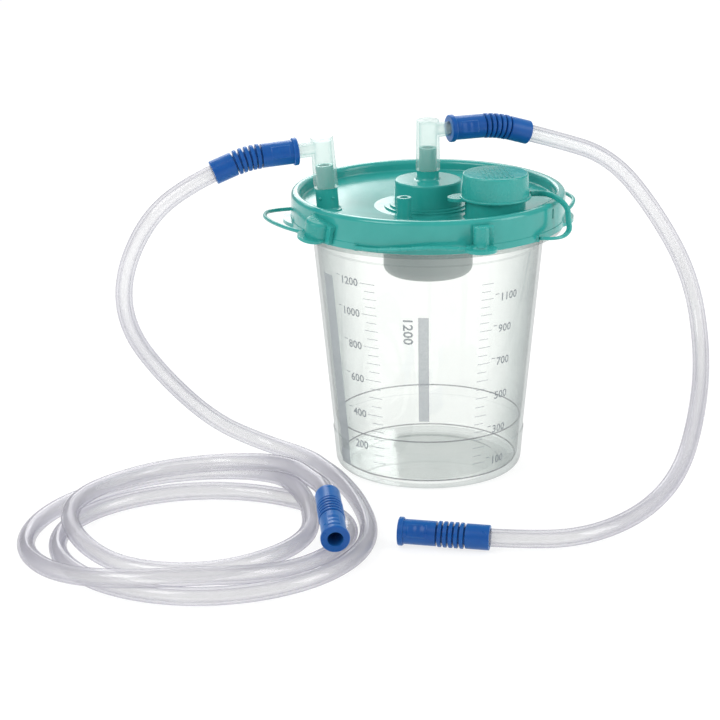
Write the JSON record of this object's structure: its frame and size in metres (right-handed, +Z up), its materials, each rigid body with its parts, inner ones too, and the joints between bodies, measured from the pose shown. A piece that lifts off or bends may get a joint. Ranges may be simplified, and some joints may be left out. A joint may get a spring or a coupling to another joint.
{
  "type": "suction canister",
  "caption": "Clear tapered graduated jar with a press-on ported lid, swivel elbows, captive caps, a float shut-off and clear hoses, one coiled, with soft push-on connectors.",
  "frame": {"origin": "centre of the jar's base, on the surface it stands on", "axes": "+Z up along the jar's axis, -Y to the front of the jar, +X to its right seen from the front"},
  "size_m": [0.3718, 0.2975, 0.1999],
  "materials": {
    "clear_jar": "clear moulded plastic with a glossy skin and printed graduations",
    "lid_plastic": "teal moulded plastic, satin gloss",
    "strap_plastic": "soft teal plastic",
    "elbow_plastic": "milky translucent plastic",
    "connector_plastic": "soft translucent blue plastic",
    "hose_plastic": "clear flexible tubing with a faint lavender tint",
    "housing_plastic": "grey moulded plastic",
    "float_plastic": "white moulded plastic",
    "seal_rubber": "soft pale rubber"
  },
  "bodies": {
    "canister": {"canister": "clear_jar"},
    "lid": {"lid": "lid_plastic", "pour_cap_strap": "strap_plastic", "tandem_port_cap": "strap_plastic", "patient_port_cap": "strap_plastic", "vacuum_port_cap": "strap_plastic", "shutoff_housing": "housing_plastic"},
    "pour_cap": {"pour_cap": "strap_plastic"},
    "float": {"shutoff_float": "float_plastic", "float_seal": "seal_rubber"},
    "patient_elbow": {"patient_elbow": "elbow_plastic", "patient_elbow_connector": "connector_plastic", "patient_hose": "hose_plastic", "patient_hose_coil": "hose_plastic", "patient_end_connector": "connector_plastic"},
    "vacuum_elbow": {"vacuum_elbow": "elbow_plastic", "vacuum_elbow_connector": "connector_plastic", "vacuum_hose": "hose_plastic", "vacuum_end_connector": "connector_plastic"}
  },
  "joints": [
    {"name": "lid_lift", "type": "slide", "parent": "canister", "child": "lid", "axis": [0, 0, 1], "range_m": [0, 0.06]},
    {"name": "pour_cap_lift", "type": "slide", "parent": "lid", "child": "pour_cap", "axis": [0, 0, 1], "range_m": [0, 0.015]},
    {"name": "float_rise", "type": "slide", "parent": "lid", "child": "float", "axis": [0, 0, 1], "range_m": [0, 0.0148]},
    {"name": "patient_elbow_swivel", "type": "hinge", "parent": "lid", "child": "patient_elbow", "pos_m": [-0.05596, -0.015, 0.16416], "axis": [-0.075, 0, 0.9972], "range_deg": [-20, 0]},
    {"name": "vacuum_elbow_swivel", "type": "hinge", "parent": "lid", "child": "vacuum_elbow", "pos_m": [0, 0, 0.1704], "axis": [0, 0, 1], "range_deg": [0, 60]}
  ]
}
